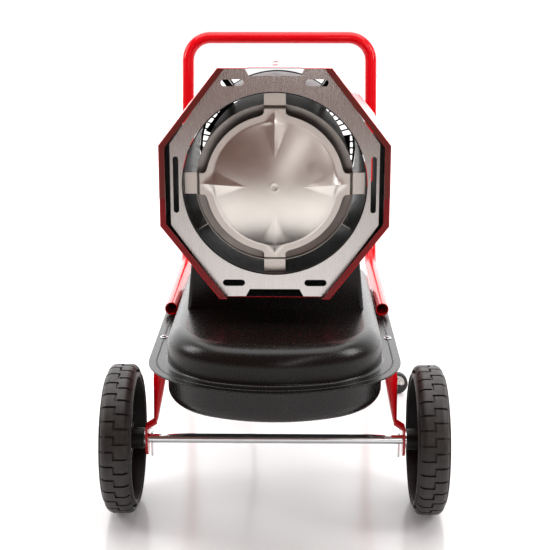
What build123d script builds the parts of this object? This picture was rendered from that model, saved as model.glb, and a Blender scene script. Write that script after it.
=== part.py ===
"""Forced air heater: an octagonal casing with its oil burner, on a pressed tank and a two-wheel trolley.

Millimetres, +Z up, the hot-air outlet facing -Y. The origin is on the floor, under the middle of the
heater. Lengthwise places are given as distances behind the axle, which at() turns into the frame's Y.
"""
from build123d import *
from math import cos, hypot, radians, sin, sqrt, tan
import os

os.makedirs("parts", exist_ok=True)

# --- driving dimensions -------------------------------------------------------------------------
CLEAR = 0.3  # between pieces that sit next to each other
RUN = 0.05  # radial, between a shaft and what turns on it

WHEEL_R = 150.0
TYRE_W = 63.0
WHEEL_X = 307.5  # middle of the tyre
RIM_R = WHEEL_R - 21
AXLE_R = 10.0
AXLE_END = WHEEL_X + 22.5

NOSE = 276.0  # tank flange in front of the axle
HANDLE_BACK = 720.0  # handle bar behind the axle
HANDLE_TOP = 905.0  # handle bar's centre above the floor
TUBE_R = 14.0  # handle tube
TUBE_WALL = 2.0
LEG_R = 12.5  # side frame tube
RAIL_X = 227.0
Y_AXLE = (NOSE - HANDLE_BACK - TUBE_R) / 2

FLANGE_Z = 344.0
SHEET = 1.5  # tank and casing sheet
FLANGE_HALF = 241.5
FLANGE_TAIL = 450.0
FLANGE_W = 36.5
FLANGE_NOSE_R = 290.0
TAIL_R = 80.0
TUB_NOSE_R = 340.0
TANK_TOP = 415.0
TANK_BOTTOM = 270.0

CASE_Z = 686.0  # outlet's axis
CASE_FRONT = -100.0
CASE_REAR = 386.0
CASE_HALF_W = 212.5
CASE_HALF_H = 215.4
CASE_TOP_HALF = 103.5  # half the octagon's top edge
CASE_SIDE_HALF = 75.5
SEAM_Z = -23.0  # below the outlet's axis

PLATE_Y = -83.0
PLATE_T = 2.0
PLATE_HALF_W = 193.5
PLATE_TOP_HALF = 96.0
DUCT_R = 169.5
HOLE_R = DUCT_R + 2.5
DUCT_REAR = 340.0
CHAMBER_R = 148.0
LIP_Y = -63.0
CHAMBER_REAR = 180.0
DISC_Y = -72.0
DISC_R = CHAMBER_R - 19.4
DOME_R = DISC_R - 12.6
DOME_RISE = 35.0
ARM_W = 40.0

PED_FRONT = 25.0
PED_REAR = 315.0
PED_HALF_BASE = 176.0
PED_HALF_TOP = 163.0
PED_TOP = 548.0  # buried in the casing, which cuts it to shape
PED_WALL = 2.0
PED_CORNER = 8.0

FAN_Y = 222.0
FAN_R = 162.0
FAN_W = 34.0
BLADES = 5
SHAFT_R = 6.0
MOTOR_R = 58.0
MOTOR_FRONT = 264.0
MOTOR_REAR = 334.0
GUARD_Y = 376.0
GUARD_WIRES = 72

CORD_R = 4.0


def at(y):
    """The frame's Y of a place y behind the axle."""
    return Y_AXLE + y


def upright(y):
    """A plane facing the outlet's side, on the outlet's axis: x to the right, y up."""
    return Plane(origin=(0, at(y), CASE_Z), x_dir=(1, 0, 0), z_dir=(0, -1, 0))


def save(part, name):
    """Names a finished piece and writes it."""
    part.label = name
    export_step(part, f"parts/{name}.step")


def octagon(half_w, half_h, top_half, side_half, mode=Mode.ADD):
    """Draws an octagon with two flat sides of its own lengths."""
    corners = [(top_half, half_h), (half_w, side_half), (half_w, -side_half), (top_half, -half_h)]
    corners += [(-x, y) for x, y in reversed(corners)]
    Polygon(*corners, align=None, mode=mode)


def casing_octagon(inset=0.0, mode=Mode.ADD):
    """The casing's outline, drawn in by inset all round."""
    slope = hypot(CASE_HALF_W - CASE_TOP_HALF, CASE_HALF_H - CASE_SIDE_HALF)
    step_x = inset * (slope - (CASE_HALF_W - CASE_TOP_HALF)) / (CASE_HALF_H - CASE_SIDE_HALF)
    step_y = inset * (slope - (CASE_HALF_H - CASE_SIDE_HALF)) / (CASE_HALF_W - CASE_TOP_HALF)
    octagon(
        CASE_HALF_W - inset,
        CASE_HALF_H - inset,
        CASE_TOP_HALF - step_x,
        CASE_SIDE_HALF - step_y,
        mode,
    )


def tank_plan(inset, nose_r):
    """Draws the tank from above, drawn in by inset: straight sides, a bowed nose and a square tail."""
    half = FLANGE_HALF - inset
    tip = at(inset - NOSE)
    shoulder = tip + nose_r - sqrt(nose_r**2 - half**2)
    tail = at(FLANGE_TAIL - inset)
    with BuildSketch(mode=Mode.PRIVATE) as plan:
        with BuildLine():
            ThreePointArc((-half, shoulder), (0, tip), (half, shoulder))
            Polyline((half, shoulder), (half, tail), (-half, tail), (-half, shoulder))
        make_face()
        fillet(plan.vertices().group_by(Axis.Y)[-1], TAIL_R - inset)
    add(plan.sketch)


def strip(points, thickness):
    """The outline of a bent strip whose middle follows points, as corners for a closed polyline."""
    runs = [Vector(*b) - Vector(*a) for a, b in zip(points, points[1:])]
    sides = [Vector(-run.Y, run.X).normalized() for run in runs]
    near = []
    far = []
    for here, before, after in zip(points, sides[:1] + sides, sides + sides[-1:]):
        mitre = (before + after) * (thickness / 2 / (1 + before.dot(after)))
        near.append((here[0] + mitre.X, here[1] + mitre.Y))
        far.append((here[0] - mitre.X, here[1] - mitre.Y))
    return near + far[::-1]


# --- trolley --------------------------------------------------------------------------------------
AXLE_Z = WHEEL_R
LEG_FLAT_Z = AXLE_Z + 44
LEG_FLAT_W = 38.0
LEG_FLAT_T = 9.5
KNEE_Y = 12.0
LUG_X = WHEEL_X - 50.5
LEG_FLAT_X = LUG_X - 17  # middle of the leg's flattened end
LUG_T = 5.0
LUG_W = 34.0
LUG_BELOW = 35.0  # under the axle's centre
CRANK = (38.0, 25.0)  # above the axle, where the flattened end cranks out to the lug
REAR_LEG_Y = 655.0
FOOT_TOP = 26.0
RAIL_Z = FLANGE_Z - LEG_R


def side_frame(side, name):
    """A tube under the flange and down to the rear foot; its front leg ends flattened, cranked and drilled."""
    knee = Vector(side * RAIL_X, at(KNEE_Y), RAIL_Z)
    flat = Vector(side * LEG_FLAT_X, at(0), LEG_FLAT_Z)
    squeeze = knee + (flat - knee) * 0.42
    rear = (side * RAIL_X, at(REAR_LEG_Y))
    lug_middle = LUG_X + LUG_T / 2
    lug_end = AXLE_Z - LUG_BELOW + LUG_W / 2
    with BuildPart() as frame:
        with BuildLine() as route:
            FilletPolyline(squeeze, knee, (*rear, RAIL_Z), (*rear, FOOT_TOP - 16), radius=[45, 70])
        with BuildSketch(Plane(origin=route.line @ 0, z_dir=route.line % 0)):
            Circle(LEG_R)
        sweep()
        with BuildSketch(Plane(origin=squeeze, x_dir=(1, 0, 0), z_dir=knee - flat)):
            Circle(LEG_R)
        with BuildSketch(Plane.XY.offset(LEG_FLAT_Z)):
            with Locations((flat.X, flat.Y)):
                Ellipse(LEG_FLAT_T / 2, LEG_FLAT_W / 2)
        loft()
        with BuildSketch(Plane(origin=(0, at(0), 0), x_dir=(side, 0, 0), z_dir=(0, -side, 0))):
            with BuildLine():
                crank = [
                    (LEG_FLAT_X, LEG_FLAT_Z + 1),
                    (LEG_FLAT_X, AXLE_Z + CRANK[0]),
                    (lug_middle, AXLE_Z + CRANK[1]),
                    (lug_middle, lug_end),
                ]
                Polyline(*strip(crank, LUG_T), close=True)
            make_face()
        extrude(amount=LUG_W / 2, both=True)
        with BuildSketch(Plane(origin=(side * LUG_X, at(0), lug_end), z_dir=(side, 0, 0))):
            Circle(LUG_W / 2)
        extrude(amount=LUG_T)
        with BuildSketch(Plane(origin=(side * (LUG_X - 1), at(0), AXLE_Z), z_dir=(side, 0, 0))):
            Circle(AXLE_R + RUN)
        extrude(amount=LUG_T + 2, mode=Mode.SUBTRACT)
    save(frame.part, name)


side_frame(-1, "side_frame_left")
side_frame(1, "side_frame_right")

with BuildPart() as rear_cross_tube:
    with BuildSketch(Plane.YZ.offset(-RAIL_X)):
        with Locations((at(REAR_LEG_Y), 80)):
            Circle(10)
    extrude(amount=2 * RAIL_X)
    for side in (-1, 1):
        with BuildSketch(Plane.XY.offset(40)):
            with Locations((side * RAIL_X, at(REAR_LEG_Y))):
                Circle(LEG_R)
        extrude(amount=80, mode=Mode.SUBTRACT)
save(rear_cross_tube.part, "rear_cross_tube")


def rubber_foot(side, name):
    """A thimble pushed up over the end of the rear leg."""
    middle = (side * RAIL_X, at(REAR_LEG_Y))
    with BuildPart() as foot:
        with BuildSketch():
            with Locations(middle):
                Circle(LEG_R + 5)
        extrude(amount=34, taper=3)
        fillet(foot.edges().group_by(Axis.Z)[-1], 1.5)
        with BuildSketch(Plane.XY.offset(FOOT_TOP - 16)):
            with Locations(middle):
                Circle(LEG_R + RUN)
        extrude(amount=30, mode=Mode.SUBTRACT)
    save(foot.part, name)


rubber_foot(-1, "rubber_foot_left")
rubber_foot(1, "rubber_foot_right")

RAIL_FRONT = 214.0
RAIL_BEND = 649.0
HANDLE_Z = FLANGE_Z + 2 * SHEET + TUBE_R
HANDLE_HALF_TOP = 223.0
with BuildPart() as handle_frame:
    half_route = [
        (RAIL_X, at(RAIL_FRONT), HANDLE_Z),
        (RAIL_X, at(RAIL_BEND), HANDLE_Z),
        (HANDLE_HALF_TOP, at(HANDLE_BACK), HANDLE_TOP),
    ]
    with BuildLine() as handle_route:
        FilletPolyline(
            *half_route,
            *[(-x, y, z) for x, y, z in reversed(half_route)],
            radius=[60, 55, 55, 60],
        )
    with BuildSketch(Plane(origin=handle_route.line @ 0, z_dir=handle_route.line % 0)):
        Circle(TUBE_R)
        Circle(TUBE_R - TUBE_WALL, mode=Mode.SUBTRACT)
    sweep()
save(handle_frame.part, "handle_frame")

# --- axle -----------------------------------------------------------------------------------------
PIN_X = LUG_X - 7
PIN_R = 2.0
PIN_TAIL = 29.0  # legs below the axle
WASHER_T = 2.5
with BuildPart() as axle:
    with BuildSketch(Plane.YZ.offset(-AXLE_END)):
        with Locations((at(0), AXLE_Z)):
            Circle(AXLE_R)
    extrude(amount=2 * AXLE_END)
    chamfer(axle.edges().filter_by(GeomType.CIRCLE), 1)
    for side in (-1, 1):
        with Locations((side * PIN_X, at(0), AXLE_Z)):
            Cylinder(PIN_R + RUN, 2 * AXLE_R + 2, mode=Mode.SUBTRACT)
save(axle.part, "axle")


def axle_pin(side, name):
    """A split pin down through the axle: a flat eye above it, two straight legs hanging below."""
    eye_r = 5.0
    slit = 0.5
    x = side * PIN_X
    tail_z = AXLE_Z - AXLE_R - PIN_TAIL
    eye_z = AXLE_Z + AXLE_R + 1 + eye_r
    with BuildPart() as pin:
        with BuildSketch(Plane.XY.offset(tail_z)):
            with Locations((x, at(0))):
                Circle(PIN_R)
                Rectangle(slit, 2 * PIN_R, mode=Mode.SUBTRACT)
        extrude(amount=eye_z - eye_r + PIN_R - tail_z)
        with BuildSketch(Plane(origin=(x, at(0), eye_z), z_dir=(0, 1, 0))):
            Circle(eye_r)
            Circle(eye_r - PIN_R, mode=Mode.SUBTRACT)
        extrude(amount=PIN_R * 0.8, both=True)
    save(pin.part, name)


axle_pin(-1, "axle_pin_left")
axle_pin(1, "axle_pin_right")


def axle_rings(name, inner_x, thickness, radius, rise=0.0):
    """A pair of rings on the axle, one each side, dished by rise."""
    with BuildPart() as rings:
        for side in (-1, 1):
            with BuildSketch(Plane(origin=(side * inner_x, at(0), AXLE_Z), z_dir=(side, 0, 0))):
                Circle(radius)
                Circle(AXLE_R + RUN, mode=Mode.SUBTRACT)
            extrude(amount=thickness)
            if rise:
                with BuildSketch(Plane(origin=(side * inner_x, at(0), AXLE_Z), z_dir=(side, 0, 0))):
                    Circle(radius * 0.7)
                    Circle(AXLE_R + RUN, mode=Mode.SUBTRACT)
                extrude(amount=thickness + rise)
    save(rings.part, name)


WASHER_X = LUG_X + LUG_T
HUB_INNER = WASHER_X + WASHER_T + CLEAR
HUB_OUTER = AXLE_END - 4.5
axle_rings("axle_washers", WASHER_X, WASHER_T, AXLE_R + 7)
axle_rings("axle_retainers", HUB_OUTER + CLEAR, 1.2, AXLE_R + 7, rise=1.2)

# --- wheels ---------------------------------------------------------------------------------------
TREAD_PITCH = 32  # grooves round each row of blocks
GROOVE = 1.6  # degrees
TREAD_DEPTH = 4.0
SHOULDER_R = 14.0
CROWN_HALF = 14.0  # the flat middle of the tread
BLOCK_END_R = WHEEL_R - 7.8  # where the blocks run out into the shoulder
BLOCK_END = 26.8
MID_GROOVE = 4.0
HUB_R = AXLE_R + 12
SPOKES = 8
WEB_AT = 3.0  # outboard of the tyre's middle
WEB_T = 6.0
RIM_T = 5.0


def wheel_centre(side):
    """The middle of a wheel."""
    return (side * WHEEL_X, at(0), AXLE_Z)


def wheel_axis(side):
    """The wheel's axis, pointing outboard."""
    return Axis(wheel_centre(side), (side, 0, 0))


def radial_plane(side, turn=0.0):
    """A plane through the wheel's axis: x outwards from it, y outboard."""
    angle = radians(turn)
    out = (0, side * -sin(angle), cos(angle))
    return Plane(origin=wheel_centre(side), x_dir=out, z_dir=Vector(*out).cross(Vector(side, 0, 0)))


def tyre(side):
    """The tyre: a carcass with two staggered rows of blocks."""
    half = TYRE_W / 2
    base_r = WHEEL_R - TREAD_DEPTH
    step = 360 / TREAD_PITCH
    with BuildPart() as body:
        with BuildSketch(radial_plane(side)):
            with BuildLine():
                Line((RIM_R, -half), (base_r - SHOULDER_R, -half))
                RadiusArc((base_r - SHOULDER_R, -half), (base_r, SHOULDER_R - half), SHOULDER_R)
                Line((base_r, SHOULDER_R - half), (base_r, half - SHOULDER_R))
                RadiusArc((base_r, half - SHOULDER_R), (base_r - SHOULDER_R, half), SHOULDER_R)
                Polyline((base_r - SHOULDER_R, half), (RIM_R, half), (RIM_R, -half))
            make_face()
        revolve(axis=wheel_axis(side))
        for row, offset in ((1, 0.0), (-1, step / 2)):
            for block in range(TREAD_PITCH):
                turn = offset + block * step + GROOVE / 2
                with BuildSketch(radial_plane(side, turn)):
                    with BuildLine():
                        Polyline(
                            (BLOCK_END_R, row * BLOCK_END),
                            (BLOCK_END_R - 3, row * (BLOCK_END - 1)),
                            (base_r - 2, row * MID_GROOVE / 2),
                            (WHEEL_R, row * MID_GROOVE / 2),
                            (WHEEL_R, row * CROWN_HALF),
                        )
                        TangentArc(
                            (WHEEL_R, row * CROWN_HALF),
                            (BLOCK_END_R, row * BLOCK_END),
                            tangent=(0, row),
                        )
                    make_face()
        revolve(axis=wheel_axis(side), revolution_arc=step - GROOVE)
        for block in range(TREAD_PITCH):
            turn = block * step + step / 2 + GROOVE / 2
            with BuildSketch(radial_plane(side, turn)):
                with Locations(((base_r + WHEEL_R - 1) / 2, 0)):
                    Rectangle(TREAD_DEPTH + 1, MID_GROOVE)
        revolve(axis=wheel_axis(side), revolution_arc=step / 2 - GROOVE)
    return body.part


def wheel_disc(side):
    """The moulded wheel: a rim, a web with ribs behind it and a long hub."""
    inner = HUB_INNER - WHEEL_X
    outer = HUB_OUTER - WHEEL_X
    rim_half = TYRE_W / 2 - 2.5
    with BuildPart() as disc:
        with BuildSketch(radial_plane(side)):
            with BuildLine():
                Polyline(
                    (AXLE_R + RUN, inner),
                    (HUB_R - 1, inner),
                    (HUB_R + 1, WEB_AT),
                    (RIM_R - 16, WEB_AT),
                    (RIM_R - 7, WEB_AT - 8),
                    (RIM_R - RIM_T, -rim_half),
                    (RIM_R, -rim_half),
                    (RIM_R, rim_half),
                    (RIM_R - RIM_T, rim_half),
                    (RIM_R - 8, WEB_AT + WEB_T),
                    (HUB_R, WEB_AT + WEB_T),
                    (HUB_R, outer),
                    (AXLE_R + RUN, outer),
                    close=True,
                )
            make_face()
        revolve(axis=wheel_axis(side))
        for spoke in range(SPOKES):
            plane = radial_plane(side, spoke * 360 / SPOKES)
            with BuildSketch(plane):
                with BuildLine():
                    Polyline(
                        (HUB_R - 4, -18),
                        (HUB_R - 4, WEB_AT + 2),
                        (RIM_R - 9, WEB_AT + 2),
                        (RIM_R - 9, WEB_AT - 8),
                        close=True,
                    )
                make_face()
            extrude(amount=2.5, both=True)
    return disc.part


def hub_cap(side):
    """A domed cap pushed over the hub, clear of the axle's end."""
    hub_end = HUB_OUTER - WHEEL_X
    crown = TYRE_W / 2 - 0.5
    skin = 2.0
    with BuildPart() as cap:
        with BuildSketch(radial_plane(side)):
            with BuildLine():
                Polyline(
                    (0, crown),
                    (HUB_R - 6, crown),
                    (HUB_R - 1, crown - 1.5),
                    (HUB_R + skin, crown - 6),
                    (HUB_R + skin, hub_end - 8),
                    (HUB_R + 0.1, hub_end - 8),
                    (HUB_R + 0.1, hub_end + 1),
                    (HUB_R - 4, crown - skin),
                    (0, crown - skin),
                    (0, crown),
                )
            make_face()
        revolve(axis=wheel_axis(side))
    return cap.part


for piece_name, piece in (("tyre", tyre(1)), ("wheel", wheel_disc(1)), ("hub_cap", hub_cap(1))):
    with BuildPart() as other:
        mirror(piece, about=Plane.YZ)
    save(piece, f"{piece_name}_right")
    save(other.part, f"{piece_name}_left")

# --- tank -----------------------------------------------------------------------------------------
SEAM = FLANGE_Z + SHEET
FILLER_X = 135.0
FILLER_Y = 352.0
FILLER_BORE = 19.0
FILLER_WALL = 2.0
GAUGE_R = 17.0
DRAIN_Y = 300.0
DRAIN_R = 9.0
FILTER_X = 82.0
FILTER_Y = PED_REAR + 21
FILTER_R = 15.0
PIPE_R = 3.0
PIPE_Y = FILTER_Y + 33

UPPER_ROUND = 29.0
LOWER_ROUND = 27.0


def tub(inset, far_z, radius):
    """A block with the tank's outline from the seam to far_z, its far edge rounded."""
    with BuildPart() as block:
        with BuildSketch(Plane.XY.offset(SEAM)):
            tank_plan(inset, TUB_NOSE_R + FLANGE_W - inset)
        extrude(amount=far_z - SEAM)
        levels = block.edges().group_by(Axis.Z)
        fillet(levels[-1] if far_z > SEAM else levels[0], radius)
    return block.part


with BuildPart() as tank_upper:
    add(tub(FLANGE_W, TANK_TOP, UPPER_ROUND))
    with BuildSketch(Plane.XY.offset(SEAM)):
        tank_plan(0, FLANGE_NOSE_R)
    extrude(amount=SHEET)
    add(tub(FLANGE_W + SHEET, TANK_TOP - SHEET, UPPER_ROUND - SHEET), mode=Mode.SUBTRACT)
    with Locations((FILLER_X, at(FILLER_Y), TANK_TOP), (-FILLER_X, at(FILLER_Y), TANK_TOP)):
        Cylinder(FILLER_BORE + FILLER_WALL, 10, mode=Mode.SUBTRACT)
    with Locations((FILTER_X, at(PIPE_Y), TANK_TOP)):
        Cylinder(PIPE_R + RUN, 10, mode=Mode.SUBTRACT)
save(tank_upper.part, "tank_upper")

with BuildPart() as tank_lower:
    add(tub(FLANGE_W, TANK_BOTTOM, LOWER_ROUND))
    with BuildSketch(Plane.XY.offset(FLANGE_Z)):
        tank_plan(0, FLANGE_NOSE_R)
    extrude(amount=SHEET)
    add(tub(FLANGE_W + SHEET, TANK_BOTTOM + SHEET, LOWER_ROUND - SHEET), mode=Mode.SUBTRACT)
    with Locations((0, at(DRAIN_Y), TANK_BOTTOM)):
        Cylinder(DRAIN_R, 10, mode=Mode.SUBTRACT)
save(tank_lower.part, "tank_lower")

NECK_TOP = TANK_TOP + 16
with BuildPart() as filler_neck:
    with BuildSketch(Plane.XY.offset(TANK_TOP - 12)):
        with Locations((FILLER_X, at(FILLER_Y))):
            Circle(FILLER_BORE + FILLER_WALL)
    extrude(amount=NECK_TOP - TANK_TOP + 12)
    with BuildSketch(Plane.XY.offset(TANK_TOP)):
        with Locations((FILLER_X, at(FILLER_Y))):
            Circle(FILLER_BORE + 7)
    extrude(amount=3)
    with Locations((FILLER_X, at(FILLER_Y), TANK_TOP)):
        Cylinder(FILLER_BORE, 60, mode=Mode.SUBTRACT)
save(filler_neck.part, "filler_neck")

CAP_SKIN = 2.5
CAP_R = FILLER_BORE + FILLER_WALL + CLEAR + CAP_SKIN
with BuildPart() as filler_cap:
    with BuildSketch(Plane.XY.offset(TANK_TOP + 3 + CLEAR)):
        with Locations((FILLER_X, at(FILLER_Y))):
            RegularPolygon(CAP_R + 1.5, 12)
            Circle(CAP_R + 0.5)
    extrude(amount=NECK_TOP - TANK_TOP + 2)
    chamfer(filler_cap.edges().group_by(Axis.Z)[-1], 1.2)
    with BuildSketch(Plane.XY.offset(NECK_TOP + 5 + CLEAR)):
        with Locations((FILLER_X, at(FILLER_Y))):
            SlotOverall(2 * CAP_R - 4, 9)
    extrude(amount=7)
    with BuildSketch(Plane.XY.offset(TANK_TOP)):
        with Locations((FILLER_X, at(FILLER_Y))):
            Circle(CAP_R - CAP_SKIN)
    extrude(amount=NECK_TOP - TANK_TOP + CLEAR, mode=Mode.SUBTRACT)
save(filler_cap.part, "filler_cap")

with BuildPart() as fuel_gauge:
    with BuildSketch(Plane.XY.offset(TANK_TOP - 6)):
        with Locations((-FILLER_X, at(FILLER_Y))):
            Circle(FILLER_BORE + FILLER_WALL)
    extrude(amount=6)
    with BuildSketch(Plane.XY.offset(TANK_TOP)):
        with Locations((-FILLER_X, at(FILLER_Y))):
            Circle(FILLER_BORE + 7)
    extrude(amount=10, taper=4)
    fillet(fuel_gauge.edges().group_by(Axis.Z)[-1], 2)
    with BuildSketch(Plane.XY.offset(TANK_TOP + 8)):
        with Locations((-FILLER_X, at(FILLER_Y))):
            Circle(GAUGE_R)
    extrude(amount=5, mode=Mode.SUBTRACT)
save(fuel_gauge.part, "fuel_gauge")

with BuildPart() as drain_plug:
    with BuildSketch(Plane.XY.offset(TANK_BOTTOM + 4)):
        with Locations((0, at(DRAIN_Y))):
            Circle(DRAIN_R - 0.1)
    extrude(amount=-4)
    with BuildSketch(Plane.XY.offset(TANK_BOTTOM)):
        with Locations((0, at(DRAIN_Y))):
            Circle(DRAIN_R + 5)
    extrude(amount=-2)
    with BuildSketch(Plane.XY.offset(TANK_BOTTOM - 2)):
        with Locations((0, at(DRAIN_Y))):
            RegularPolygon(11, 6)
    extrude(amount=-8)
save(drain_plug.part, "drain_plug")

# --- pedestal and controls ------------------------------------------------------------------------
PANEL_W = 178.0
PANEL_H = 44.0
PANEL_X = -18.0
PANEL_Z = 443.0
PANEL_T = 3.0
SWITCH_X = -36.0
SWITCH_W = 16.0
SWITCH_H = 28.0
KNOB_X = 8.0
KNOB_R = 16.0
BUTTON_X = 42.0
BUTTON_R = 6.0
LAMP_X = -60.0
LAMP_R = 5.0
GLAND_X = -88.0
GLAND_R = 10.0


def rear_face(y=PED_REAR):
    """A plane on the pedestal's back, facing backwards: x to the left as seen from the front, y up."""
    return Plane(origin=(0, at(y), PANEL_Z), x_dir=(-1, 0, 0), z_dir=(0, 1, 0))


with BuildPart() as pedestal:
    ped_middle = at((PED_FRONT + PED_REAR) / 2)
    for skin, what in ((0.0, Mode.ADD), (PED_WALL, Mode.SUBTRACT)):
        for height, half in ((TANK_TOP, PED_HALF_BASE), (PED_TOP, PED_HALF_TOP)):
            with BuildSketch(Plane.XY.offset(height)):
                with Locations((0, ped_middle)):
                    RectangleRounded(
                        2 * (half - skin),
                        PED_REAR - PED_FRONT - 2 * skin,
                        PED_CORNER - skin,
                    )
        loft(mode=what)
    with BuildSketch(upright(CASE_REAR)):
        casing_octagon()
    extrude(amount=CASE_REAR - CASE_FRONT, mode=Mode.SUBTRACT)
    with BuildSketch(rear_face(PED_REAR - 5)):
        with Locations((-PANEL_X, 0)):
            Rectangle(PANEL_W - 12, PANEL_H - 12)
    extrude(amount=10, mode=Mode.SUBTRACT)
save(pedestal.part, "pedestal")

with BuildPart() as control_panel:
    with BuildSketch(rear_face()):
        with Locations((-PANEL_X, 0)):
            RectangleRounded(PANEL_W, PANEL_H, 5)
        with Locations((-SWITCH_X, 0)):
            Rectangle(SWITCH_W, SWITCH_H, mode=Mode.SUBTRACT)
        with Locations((-KNOB_X, 0)):
            Circle(3 + RUN, mode=Mode.SUBTRACT)
        with Locations((-BUTTON_X, 0)):
            Circle(BUTTON_R, mode=Mode.SUBTRACT)
        with Locations((-LAMP_X, 0)):
            Circle(LAMP_R, mode=Mode.SUBTRACT)
        with Locations((-GLAND_X, 0)):
            Circle(GLAND_R - 2, mode=Mode.SUBTRACT)
    extrude(amount=PANEL_T)
    with BuildSketch(rear_face(PED_REAR + PANEL_T)):
        with Locations((-SWITCH_X, 0)):
            RectangleRounded(SWITCH_W + 6, SWITCH_H + 6, 2)
            Rectangle(SWITCH_W, SWITCH_H, mode=Mode.SUBTRACT)
        with Locations((-BUTTON_X, 0)):
            Circle(BUTTON_R + 2.5)
            Circle(BUTTON_R, mode=Mode.SUBTRACT)
    extrude(amount=2)
save(control_panel.part, "control_panel")

ROCK = 9.0  # degrees the rocker leans each way
with BuildPart() as rocker_switch:
    half_h = SWITCH_H / 2 - 1.5
    pivot = (SWITCH_X, at(PED_REAR + PANEL_T), PANEL_Z)
    lean = radians(ROCK)
    with BuildSketch(Plane(origin=pivot, x_dir=(0, cos(lean), sin(lean)), z_dir=(1, 0, 0))):
        with BuildLine():
            Polyline((3, half_h), (-8, 6), (-8, -6), (3, -half_h), (1.5, 0), (3, half_h))
        make_face()
    extrude(amount=SWITCH_W / 2 - CLEAR, both=True)
save(rocker_switch.part, "rocker_switch")

with BuildPart() as thermostat_knob:
    with BuildSketch(rear_face(PED_REAR + PANEL_T + CLEAR)):
        with Locations((-KNOB_X, 0)):
            Circle(KNOB_R)
    extrude(amount=5, taper=8)
    with BuildSketch(rear_face(PED_REAR + PANEL_T + 5)):
        with Locations((-KNOB_X, 0)):
            Circle(KNOB_R - 4)
            with PolarLocations(KNOB_R - 4, 12):
                Circle(1.2, mode=Mode.SUBTRACT)
    extrude(amount=13)
    chamfer(thermostat_knob.edges().group_by(Axis.Y)[-1], 1)
    with BuildSketch(rear_face(PED_REAR - 8)):
        with Locations((-KNOB_X, 0)):
            Circle(3)
    extrude(amount=12)
save(thermostat_knob.part, "thermostat_knob")

BUTTON_TRAVEL = 3.0
with BuildPart() as reset_button:
    with BuildSketch(rear_face(PED_REAR - 3)):
        with Locations((-BUTTON_X, 0)):
            Circle(BUTTON_R - CLEAR)
    extrude(amount=PANEL_T + 3 + 2 + BUTTON_TRAVEL + 1)
    fillet(reset_button.edges().group_by(Axis.Y)[-1], 1)
save(reset_button.part, "reset_button")

with BuildPart() as indicator_lamp:
    with BuildSketch(rear_face(PED_REAR - 4)):
        with Locations((-LAMP_X, 0)):
            Circle(LAMP_R - 0.1)
    extrude(amount=4 + PANEL_T)
    with BuildSketch(rear_face(PED_REAR + PANEL_T)):
        with Locations((-LAMP_X, 0)):
            Circle(LAMP_R + 2)
    extrude(amount=4)
    fillet(indicator_lamp.edges().group_by(Axis.Y)[-1], 2.5)
save(indicator_lamp.part, "indicator_lamp")

GLAND_L = 26.0
with BuildPart() as mains_gland:
    with BuildSketch(rear_face(PED_REAR - 6)):
        with Locations((-GLAND_X, 0)):
            Circle(GLAND_R - 2.1)
    extrude(amount=6 + PANEL_T)
    with BuildSketch(rear_face(PED_REAR + PANEL_T)):
        with Locations((-GLAND_X, 0)):
            RegularPolygon(GLAND_R + 2, 6)
    extrude(amount=8)
    with BuildSketch(rear_face(PED_REAR + PANEL_T + 8)):
        with Locations((-GLAND_X, 0)):
            Circle(GLAND_R - 0.5)
    extrude(amount=GLAND_L - 8, taper=10)
save(mains_gland.part, "mains_gland")

with BuildPart() as fuel_filter:
    with BuildSketch(Plane.XY.offset(420)):
        with Locations((FILTER_X, at(FILTER_Y))):
            Circle(FILTER_R)
    extrude(amount=28)
    chamfer(fuel_filter.edges().group_by(Axis.Z)[0], 4)
    with BuildSketch(Plane.XY.offset(448)):
        with Locations((FILTER_X, at(FILTER_Y))):
            Circle(FILTER_R + 2.5)
    extrude(amount=9)
    with BuildSketch(rear_face()):
        with Locations((-FILTER_X, 9.5)):
            Rectangle(16, 9)
    extrude(amount=12)
save(fuel_filter.part, "fuel_filter")

with BuildPart() as fuel_line:
    with BuildLine() as pipe_route:
        FilletPolyline(
            (FILTER_X, at(FILTER_Y + 17.5), 452.5),
            (FILTER_X, at(PIPE_Y), 452.5),
            (FILTER_X, at(PIPE_Y), TANK_TOP - 16),
            radius=10,
        )
    with BuildSketch(Plane(origin=pipe_route.line @ 0, z_dir=pipe_route.line % 0)):
        Circle(PIPE_R)
    sweep()
save(fuel_line.part, "fuel_line")

# --- casing ---------------------------------------------------------------------------------------
NOTCH_W = 109.0
NOTCH_FLOOR = 94.0
NOTCH_D = 14.0
FRONT_LIP = 11.0  # turned in at the outlet
LOWER_BACK = 3.0  # the lower half starts this far behind the upper


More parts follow.
